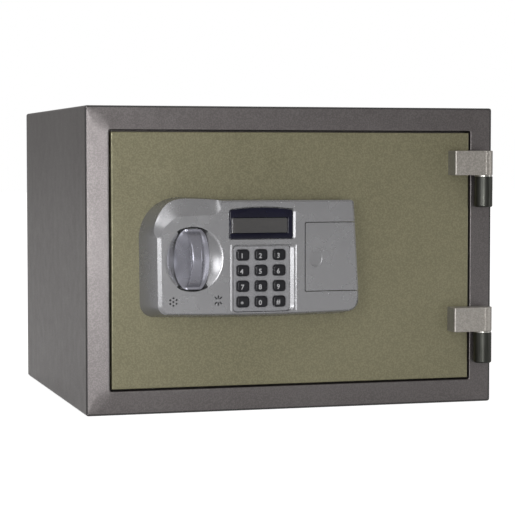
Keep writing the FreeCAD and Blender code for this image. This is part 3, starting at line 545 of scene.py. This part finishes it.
def panel_recess(shell):
    """Pocket for the key panel, its right wall a wide slope, with a well in the floor under every key."""
    floor = FACE + 3.2
    steps = ((rounded(-72.6, -8.6, 102.9, 170.8, (3.6, 3.6, 6.5, 3.6), 8), FACE),
             (rounded(-72.2, -9.3, 103.1, 170.4, (3.3, 3.3, 6.2, 3.3), 8), FACE + 0.35),
             (rounded(-72.1, -12.1, 103.3, 170.1, (3.2, 3.0, 5.0, 3.2), 8), FACE + 1.9),
             (rounded(-72.0, -12.3, 103.4, 170.0, (3.1, 2.9, 4.8, 3.1), 8), floor))
    rows = [shell.ring(outline, depth) for outline, depth in steps]
    shell.steps(rows)
    wells = []
    for _, x, z in key_places():
        wells.append(shell.ring(rounded(x - 6.9, x + 6.9, z - 5.95, z + 5.95, 3.2, 4), floor))
    shell.fill([rows[-1]] + wells)
    return rows[0]


def grille_dots(shell):
    """Round grille: one hole and six round it."""
    places = [(0.0, 0.0)] + arc(0.0, 0.0, 3.7, 90, -210, 5)
    return [shell.ring(circle(-134.0 + dx, 114.8 + dz, 1.05), FACE) for dx, dz in places]


def grille_slits(shell):
    """Star grille: six short slits that point at its middle."""
    holes = []
    for angle in (0, 45, 135, 180, 225, 315):
        turn = math.radians(angle)
        ring = []
        for x, z in rounded(-0.7, 0.7, 1.7, 5.3, 0.68, 4):
            ring.append((-87.8 + x * math.cos(turn) + z * math.sin(turn),
                         115.3 - x * math.sin(turn) + z * math.cos(turn)))
        holes.append(shell.ring(ring, FACE))
    return holes


def seam_side(shell, x, top, bottom):
    """One side of the battery cover's left seam, downwards, with its corners cut."""
    return shell.ring([(x + 1.0, top), (x + 0.3, top - 0.3), (x, top - 1.0),
                       (x, bottom + 1.0), (x + 0.3, bottom + 0.3), (x + 1.0, bottom)], FACE)


def keypad_housing():
    shell = Shell()
    count = len(FACE_LINE)
    pick = [i % count for i in range(SEAM_STATIONS[3], SEAM_STATIONS[0] + count + 1)]
    rows = wall_rows(shell, pick)
    shell.steps(rows, closed=False)
    bay = seam_side(shell, SEAM_X[0], SEAMS[0], SEAMS[3])
    bowl = dish_rows(shell)
    shell.steps(bowl)
    display = recess(shell, ((arched(-77.2, -6.9, 175.9, 206.4, 2.6, 3.0), FACE),
                             (arched(-76.7, -9.6, 176.3, 206.0, 2.5, 2.6), FACE + 1.5),
                             (arched(-76.6, -9.8, 176.4, 205.9, 2.5, 2.4), FACE + 2.4)))
    holes = [bowl[0], display, panel_recess(shell)]
    holes.append(v_groove(shell, -75.3, 104.2, 171.5))
    holes.append(v_groove(shell, -6.9, 103.4, 170.6))
    holes += grille_dots(shell) + grille_slits(shell)
    shell.fill([rows[-1] + bay] + holes)
    piece("keypad_housing_shell", shell, "door", "silver_plastic", "keypad_housing", wall=WALL, sharp=15.0)


def thumb_recess(shell, cx, cz, half_x, half_z):
    """Push mark: the floor falls away to the right and ends at a round wall."""
    outer = [(cx + (x - cx) * half_x / half_z, z) for x, z in circle(cx, cz, half_z, 48)]
    rows = [shell.ring(outer, FACE)]
    wall = ((0.97, 0.25), (0.93, 0.75), (0.88, 1.0))
    floor = ((0.7, 1.0), (0.5, 1.0), (0.3, 1.0), (0.1, 1.0))
    for share, sunk in wall + floor:
        row = []
        for x, z in outer:
            px, pz = lerp((cx, cz), (x, z), share)
            fall = 0.9 * smooth(cx - 0.9 * half_x, cx + 0.8 * half_x, px)
            row.append((px, pz, FACE + fall * sunk))
        rows.append(shell.ring(row))
    shell.steps(rows)
    shell.fill([rows[-1]])
    return rows[0]


def battery_cover():
    shell = Shell()
    rows = wall_rows(shell, range(SEAM_STATIONS[1], SEAM_STATIONS[2] + 1))
    shell.steps(rows, closed=False)
    left = seam_side(shell, SEAM_X[1], SEAMS[1], SEAMS[2])
    mark = thumb_recess(shell, 14.6, 157.3, 7.6, 10.3)
    shell.fill([rows[-1] + left[::-1], mark])
    piece("battery_cover_shell", shell, "battery_cover", "silver_plastic", "battery_cover", wall=WALL,
          sharp=15.0)


# ---------------------------------------------------------------- knob
GRIP_R, GRIP_D = 30.3, -14.7            # the arch of the grip's ridge: its radius and the depth of its centre
GRIP_END = 30.0                         # half the grip's length
FOOT_EDGE = 1.1                         # how far its foot stands proud of the dish at the dish's shallowest
RIGHT_FLANK = (3.4, 2.0)                # how hollow a flank is, and how full its foot's outline
LEFT_FLANK = (1.35, 2.8)


def grip_flank(z, hollow, fullness):
    """Section of one flank of the grip at height z, from its middle line out to the edge of its foot."""
    share = abs(z) / GRIP_END
    half = 4.9 + 2.2 * share ** 2
    foot = half + 0.5 + 12.6 * max(0.0, 1 - share ** fullness) ** 0.75
    floor = dish(math.hypot(foot, z), math.pi) - FOOT_EDGE
    front = min(GRIP_D - math.sqrt(GRIP_R ** 2 - z * z), floor - 1.0)
    edge = min(0.9, (floor - front) * 0.6)
    points = [(0.0, front), (half * 0.5, front + 0.01)]
    for back, sink in ((1.3, 0.02), (1.14, 0.06), (0.14, 0.62), (0.03, 0.78), (0.0, 1.0)):
        points.append((half - back, front + edge * sink))
    for i in range(1, 17):
        v = i / 16
        points.append((half + (foot - half) * v ** hollow, front + edge + (floor - front - edge) * v ** 0.92))
    for out, sink in ((0.2, 0.2), (0.28, 0.5), (0.28, FOOT_EDGE - 0.2)):
        points.append((foot + out, floor + sink))
    return points


def knob():
    shell = Shell()
    top, under = [], []
    for turn in range(-90, 91, 4):
        z = GRIP_END * math.sin(math.radians(turn))
        right = grip_flank(z, *RIGHT_FLANK)
        left = grip_flank(z, *LEFT_FLANK)[:0:-1]
        section = [(-x, d) for x, d in left] + right
        low = right[-1][1]
        top.append(shell.ring([(KNOB_X + x, KNOB_Z + z, d) for x, d in section]))
        under.append(shell.ring([(KNOB_X + x, KNOB_Z + z, low) for x, _ in section]))
    shell.steps(top, closed=False)
    shell.steps(under, closed=False)
    shell.bridge(top[0], under[0], closed=False)
    shell.bridge(top[-1], under[-1], closed=False)
    piece("knob_grip", shell, "knob_drive", "knob_plastic", "knob", sharp=40.0, closed=True)


# ---------------------------------------------------------------- keys, panel and display
PLATE = -23.4               # depth of the key panel's front
KEY_TOP = -26.78            # depth of the printed signs, in the hollow of the key tops


def key_panel():
    """Plate with a rounded outer edge and twelve holes with rounded rims."""
    shell = Shell()
    edge = []
    for g, d in ((0.0, 1.2), (0.0, 0.25), (0.08, 0.07), (0.25, 0.0)):
        outline = rounded(-71.7 + g, -12.5 - g, 103.5 + g, 169.0 - g, (3.0, 2.8, 4.7, 3.0), 8)
        edge.append(shell.ring(outline, PLATE + d))
    shell.steps(edge)
    rims, feet = [], []
    for _, x, z in key_places():
        rows = []
        for g, d in ((0.22, 0.0), (0.06, 0.07), (0.0, 0.25), (0.0, 1.2)):
            outline = rounded(x - 6.65 - g, x + 6.65 + g, z - 5.7 - g, z + 5.7 + g, 3.0 + g, 6)
            rows.append(shell.ring(outline, PLATE + d))
        shell.steps(rows)
        rims.append(rows[0])
        feet.append(rows[-1])
    shell.fill([edge[-1]] + rims)
    shell.fill([edge[0]] + feet)
    piece("key_panel_plate", shell, "door", "panel_plastic", "key_panel", closed=True)


# A key from its foot to the hollow in its top: half width, half height, corner radius and depth
KEY_SHAPE = ((6.4, 5.45, 2.8, -21.8), (6.4, 5.45, 2.8, -24.6), (6.34, 5.39, 2.8, -25.6),
             (6.2, 5.25, 2.75, -26.2), (5.95, 5.0, 2.6, -26.55), (5.6, 4.65, 2.4, -26.74),
             (4.9, 4.0, 2.1, -26.8), (3.4, 2.7, 1.5, -26.74), (1.8, 1.4, 0.9, -26.70))


def key_cap(name, x, z):
    shell = Shell()
    rows = [shell.ring(rounded(x - w, x + w, z - h, z + h, r, 7), d) for w, h, r, d in KEY_SHAPE]
    shell.steps(rows)
    shell.fill([rows[-1]])
    shell.fill([rows[0]])
    piece("key_cap_" + name, shell, "key_" + name, "key_black", "key_" + name, sharp=50.0, closed=True)


def legend(name, x, z):
    """Printed sign on a key: its digit, a star or a hash."""
    text = bpy.data.curves.new("legend_" + name, "FONT")
    text.body = {"star": "*", "hash": "#"}.get(name, name)
    text.size = 7.0 * MM
    text.extrude = 0.04 * MM
    text.resolution_u = 3
    text.offset = 0.08 * MM
    text.align_x = "CENTER"
    text.align_y = "CENTER"
    holder = bpy.data.objects.new("legend_text", text)
    scene.collection.objects.link(holder)
    bpy.context.view_layer.update()
    mesh = bpy.data.meshes.new_from_object(holder)
    bpy.data.objects.remove(holder)
    middle = sum((v.co for v in mesh.vertices), Vector()) / len(mesh.vertices)
    low = min(v.co.y for v in mesh.vertices)
    high = max(v.co.y for v in mesh.vertices)
    centre = Matrix.Translation((-middle.x, -(low + high) / 2, 0.0))
    upright = Matrix.Rotation(math.radians(90), 4, "X")
    mesh.transform(Matrix.Translation(at(x - 1.6, KEY_TOP, z - 0.7)) @ upright @ centre)
    mesh.materials.clear()
    mesh.materials.append(LEGEND)
    obj = bpy.data.objects.new("key_legend_" + name, mesh)
    scene.collection.objects.link(obj)
    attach(obj, "key_" + name)


def display_bezel():
    """Black surround with an arched top and a window that slopes in to the glass."""
    shell = Shell()
    outer = []
    for g, d in ((0.0, -22.8), (0.0, -24.6), (0.12, -24.9), (0.4, -25.15), (0.9, -25.25)):
        outline = arched(-76.3 + g, -9.9 - g, 176.7 + g, 205.6 - g, 2.4, max(0.6, 2.4 - g))
        outer.append(shell.ring(outline, d))
    shell.steps(outer)
    window = []
    for g, d in ((-0.9, -25.25), (-0.45, -25.1), (-0.1, -24.7), (0.1, -23.9), (0.4, -23.2)):
        window.append(shell.ring(rounded(-74.0 + g, -15.4 - g, 182.2 + g, 197.9 - g, 1.0, 6), d))
    shell.steps(window)
    shell.fill([outer[-1], window[0]])
    shell.fill([outer[0], window[-1]])
    piece("display_bezel_frame", shell, "door", "bezel_black", "display_bezel", closed=True)


keypad_housing()
battery_cover()
knob()
key_panel()
for key_name, key_x, key_z in key_places():
    key_cap(key_name, key_x, key_z)
    legend(key_name, key_x, key_z)
display_bezel()

# ---------------------------------------------------------------- front frame
HALF, HIGH = 217.5, 310.0   # half the cabinet's width, and its height
FRAME_WIDTH = 24.0          # from the cabinet's outline in to the door opening
STEP_D = 18.4               # depth of the step behind the door's edge
JAMB_IN, JAMB_D = 34.0, 65.6            # how far in the jamb's inner run stands, and the depth of its end
RIM_WIDTH, STRIP_WIDTH = 1.8, 21.3      # the frame's outer rim, and the sloped strip inside it
RIM_BAND = 1.7              # width of the band of painted shade on that rim
RISE = 1.8                  # how far the face strips fall away from their inner to their outer edge
LINER = (-168.5, 168.5, 57.0, 253.0)    # the room's mouth
BOLT_D, BOLT_HEIGHTS = 45.5, (105.0, 210.0)     # the two bolt holes in the left jamb


def cutter_object(bm):
    mesh = bpy.data.meshes.new("cutter")
    bm.to_mesh(mesh)
    bm.free()
    obj = bpy.data.objects.new("cutter", mesh)
    scene.collection.objects.link(obj)
    return obj


def rod_cutter(x0, x1, d, z, radius):
    bm = bmesh.new()
    place = Matrix.Translation(at((x0 + x1) / 2, d, z)) @ Matrix.Rotation(math.radians(90), 4, "Y")
    bmesh.ops.create_cone(bm, cap_ends=True, segments=48, radius1=radius * MM, radius2=radius * MM,
                          depth=(x1 - x0) * MM, matrix=place)
    return cutter_object(bm)


def block_cutter(x0, x1, d0, d1, z0, z1):
    bm = bmesh.new()
    middle = Matrix.Translation(at((x0 + x1) / 2, (d0 + d1) / 2, (z0 + z1) / 2))
    size = Matrix.Diagonal(((x1 - x0) * MM, (d1 - d0) * MM, (z1 - z0) * MM, 1.0))
    bmesh.ops.create_cube(bm, size=1.0, matrix=middle @ size)
    return cutter_object(bm)


def front_frame():
    """Face ring whose four strips fall away a little outwards, folded into a stepped jamb."""
    shell = Shell()
    rim = ((0.0, 2.0), (0.1, 1.96), (0.6, 1.9), (RIM_WIDTH, RISE))
    loops = [(inset, depth, 2.5) for inset, depth in rim]
    for i in range(1, 15):
        t = i / 14
        loops.append((RIM_WIDTH + STRIP_WIDTH * t, RISE * (1 - t), 2.3 + 9.0 * math.sin(math.pi * t)))
    for turn in (22, 45, 68, 90):
        a = math.radians(turn)
        loops.append((FRAME_WIDTH - 0.9 + 0.9 * math.sin(a), 0.9 - 0.9 * math.cos(a), 2.3))
    jamb = ((FRAME_WIDTH, STEP_D - 0.4), (FRAME_WIDTH + 0.4, STEP_D), (JAMB_IN - 0.4, STEP_D),
            (JAMB_IN, STEP_D + 0.4), (JAMB_IN, JAMB_D))
    loops += [(inset, depth, 2.3) for inset, depth in jamb]
    rows = []
    for inset, depth, radius in loops:
        outline = rounded(-HALF + inset, HALF - inset, inset, HIGH - inset, radius, 8)
        rows.append(shell.ring(outline, depth))
    rows.append(shell.ring(rounded(*LINER, 2.3, 8), JAMB_D))
    shell.steps(rows)
    holes = [rod_cutter(-186.5, -180.0, BOLT_D, z, 11.8) for z in BOLT_HEIGHTS]
    holes.append(block_cutter(180.0, 188.0, 36.5, 52.5, 71.0, 239.0))
    ring = piece("front_frame_ring", shell, "cabinet", "cabinet_paint", "front_frame", wall=0.35, sharp=30.0,
                 cutters=holes)
    # Faces within the rim band take the painted shade material
    ring.data.materials.append(RIM_PAINTED_SHADE)
    for face in ring.data.polygons:
        x, _, z = face.center / MM
        if min(HALF - abs(x), z, HIGH - z) < RIM_BAND:
            face.material_index = 1


def worn_edges(node, width):
    """A fine rounding along the hard edges of a CAD piece, so that they catch the light."""
    bevel = frame["nodes"][node].modifiers.new("worn_edges", "BEVEL")
    bevel.width = width * MM
    bevel.segments = 2
    bevel.limit_method = "ANGLE"
    bevel.angle_limit = math.radians(50)
    bevel.harden_normals = True


front_frame()
worn_edges("door_skin", 0.35)

# ---------------------------------------------------------------- hinges
KNUCKLE = 9.6               # radius of the leaf's knuckle and of the barrel
LEAF_LEFT = 168.5
LEAF_HEIGHT = 25.6
LEAF_BOTTOMS = {"upper": 239.8, "lower": 76.0}
WASHER_GAP = 1.4            # between the leaf and the barrel
BARREL_HEIGHT = 32.0


def leaf_section(inset):
    """The leaf's outline from above as (x, depth), drawn in by the inset along its front and left side."""
    front, left, r = HINGE_D - KNUCKLE + inset, LEAF_LEFT + inset, KNUCKLE - inset
    points = [(left, -0.05)]
    points += [(left + out, front + back) for out, back in ((0.0, 1.5), (0.3, 0.8), (0.9, 0.25), (1.8, 0.0))]
    points += [(HINGE_X + out, front + back) for out, back in ((-1.6, 0.0), (-1.0, 0.4), (-0.3, 0.15))]
    for turn in range(9, 180, 9):
        a = math.radians(turn)
        points.append((HINGE_X + r * math.sin(a), HINGE_D - r * math.cos(a)))
    return points + [(HINGE_X, HINGE_D + r), (190.0, HINGE_D + r), (190.0, -0.05)]


def hinge_leaf(which):
    """Thick leaf with its knuckle, its upper and lower edges rounded, its end faces darkened with painted
    shade.
    """
    shell = Shell()
    rounding = ((0.0, 0.9), (0.12, 0.45), (0.4, 0.14), (0.9, 0.0))
    steps = list(rounding) + [(LEAF_HEIGHT - rise, inset) for rise, inset in rounding[::-1]]
    rows = []
    for rise, inset in steps:
        rows.append(shell.ring([(x, LEAF_BOTTOMS[which] + rise, d) for x, d in leaf_section(inset)]))
    shell.steps(rows)
    shell.faces += [rows[0], rows[-1]]
    leaf = piece("hinge_leaf_body_" + which, shell, "door", "hinge_paint", "hinge_leaf_" + which, sharp=42.0,
                 closed=True)
    # Faces that point left or right take the painted shade material
    leaf.data.materials.append(LEAF_PAINTED_SHADE)
    for face in leaf.data.polygons:
        if abs(face.normal.x) > 0.8:
            face.material_index = 1


def hinge_barrel(which):
    """Lower knuckle with a chamfered foot, and the block that joins it to the frame."""
    shell = Shell()
    top = LEAF_BOTTOMS[which] - WASHER_GAP
    bottom = top - BARREL_HEIGHT
    rows = []
    for z, inset in ((bottom, 1.3), (bottom + 0.15, 1.05), (bottom + 1.1, 0.1), (bottom + 1.4, 0.0),
                     (top - 0.6, 0.0), (top - 0.2, 0.1), (top, 0.4)):
        ring = circle(HINGE_X, HINGE_D, KNUCKLE - inset, 64)
        rows.append(shell.ring([(x, z, d) for x, d in ring]))
    shell.steps(rows)
    shell.faces += [rows[0], rows[-1]]
    outline = rounded(HINGE_X - 6, HINGE_X + 6, bottom + 2, top - 2, 1.0, 4)
    foot = [shell.ring(outline, d) for d in (-6.0, 1.5)]
    shell.steps(foot)
    shell.faces += foot
    piece("hinge_barrel_body_" + which, shell, "cabinet", "barrel_steel", "hinge_barrel_" + which, sharp=35.0,
          closed=True)


for which in LEAF_BOTTOMS:
    hinge_leaf(which)
    hinge_barrel(which)

# ---------------------------------------------------------------- stage
FLOOR_LIGHT, FLOOR_SEEN = 0.17, 0.78    # the floor's glow on the safe, and as the camera sees it

bpy.ops.mesh.primitive_plane_add(size=24.0, location=(0, 0, -0.0005))
floor = bpy.context.object
floor.name = "floor"
ground = Paint("floor_pale", Roughness=0.9, Emission_Color=(1.0, 1.0, 1.0, 1.0))
ground.set("Base Color", ground.mix(ground.noise(2.0), (0.68, 0.68, 0.68), (0.70, 0.70, 0.70)))
direct = ground.node("ShaderNodeLightPath").outputs["Is Camera Ray"]
ground.set("Emission Strength", ground.ramp(direct, 0, 1, FLOOR_LIGHT, FLOOR_SEEN))
floor.data.materials.append(ground.mat)

scene.view_settings.view_transform = "Standard"
scene.view_settings.look = "None"
world = bpy.data.worlds.new("studio")
scene.world = world
world.use_nodes = True
air = world.node_tree


def sky_node(kind, operation=None, **inputs):
    made = air.nodes.new(kind)
    if operation:
        made.operation = operation
    for key, value in inputs.items():
        feed(air, value, made.inputs[key.replace("_", " ")])
    return made


def slope(value, low, high, out_low, out_high):
    made = sky_node("ShaderNodeMapRange", From_Min=low, From_Max=high, To_Min=out_low, To_Max=out_high)
    made.interpolation_type = "SMOOTHSTEP"
    air.links.new(value, made.inputs["Value"])
    return made.outputs["Result"]


def sky_times(first, second):
    made = sky_node("ShaderNodeMath", "MULTIPLY")
    air.links.new(first, made.inputs[0])
    air.links.new(second, made.inputs[1])
    return made.outputs[0]


# The room's light: brighter on the left and upwards, with a glow at the far right
way = sky_node("ShaderNodeSeparateXYZ", Vector=sky_node("ShaderNodeTexCoord").outputs["Generated"])
across = slope(way.outputs["X"], -1.0, -0.2, 0.54, 0.33)
glow = slope(way.outputs["X"], 0.68, 0.95, 1.0, 1.4)
upward = slope(way.outputs["Z"], -0.2, 0.6, 0.65, 1.45)
level = sky_times(sky_times(across, upward), glow)
tint = sky_node("ShaderNodeMix")
tint.data_type = "RGBA"
tint.inputs[MIX_A].default_value = (1.04, 1.0, 0.94, 1.0)
tint.inputs[MIX_B].default_value = (0.92, 0.95, 1.0, 1.0)
air.links.new(across, tint.inputs[MIX_FACTOR])
scaled = sky_node("ShaderNodeVectorMath", "SCALE", Scale=level)
air.links.new(tint.outputs[MIX_RESULT], scaled.inputs[0])
room = air.nodes["Background"]
room.inputs["Strength"].default_value = 1.0
air.links.new(scaled.outputs[0], room.inputs["Color"])

# The camera itself sees plain white behind the safe
backdrop = sky_node("ShaderNodeBackground", Color=(1.0, 1.0, 1.0, 1.0))
seen = sky_node("ShaderNodeMixShader", Fac=sky_node("ShaderNodeLightPath").outputs["Is Camera Ray"])
air.links.new(room.outputs[0], seen.inputs[1])
air.links.new(backdrop.outputs[0], seen.inputs[2])
air.links.new(seen.outputs[0], air.nodes["World Output"].inputs["Surface"])


def softbox(name, place, aim, width, height, power):
    data = bpy.data.lights.new(name, "AREA")
    data.shape = "RECTANGLE"
    data.size = width
    data.size_y = height
    data.energy = power
    lamp = bpy.data.objects.new(name, data)
    scene.collection.objects.link(lamp)
    lamp.location = place
    lamp.rotation_mode = "QUATERNION"
    lamp.rotation_quaternion = (Vector(aim) - Vector(place)).to_track_quat("-Z", "Y")


UNIT = (-0.1, -0.2, 0.16)               # the keypad unit, which most lights face
FRAME_LEFT = (-0.2, -0.18, 0.16)
FRAME_LEFT_LOW = (-0.2, -0.18, 0.05)
softbox("strip_left", (-1.60, -2.12, 0.30), UNIT, 0.55, 1.5, 18.0)
softbox("strip_front", (-0.50, -2.45, 0.46), FRAME_LEFT, 0.24, 0.9, 9.0)
softbox("strip_low", (-0.50, -2.40, 0.14), FRAME_LEFT_LOW, 0.24, 0.26, 9.5)
softbox("strip_right", (1.25, -0.62, 0.24), UNIT, 0.3, 0.7, 1.6)
softbox("upper_left", (-1.08, -1.71, 1.58), UNIT, 1.2, 1.0, 6.0)

eye = bpy.data.cameras.new("camera")
camera = bpy.data.objects.new("camera", eye)
scene.collection.objects.link(camera)
camera.location = (-0.562, -1.982, 0.257)
camera.rotation_mode = "QUATERNION"
camera.rotation_quaternion = Vector((0.2783, 0.9590, -0.0536)).to_track_quat("-Z", "Y")
eye.lens = 128.6
eye.sensor_width = 36.0
eye.clip_start = 0.05
eye.clip_end = 60.0
scene.camera = camera
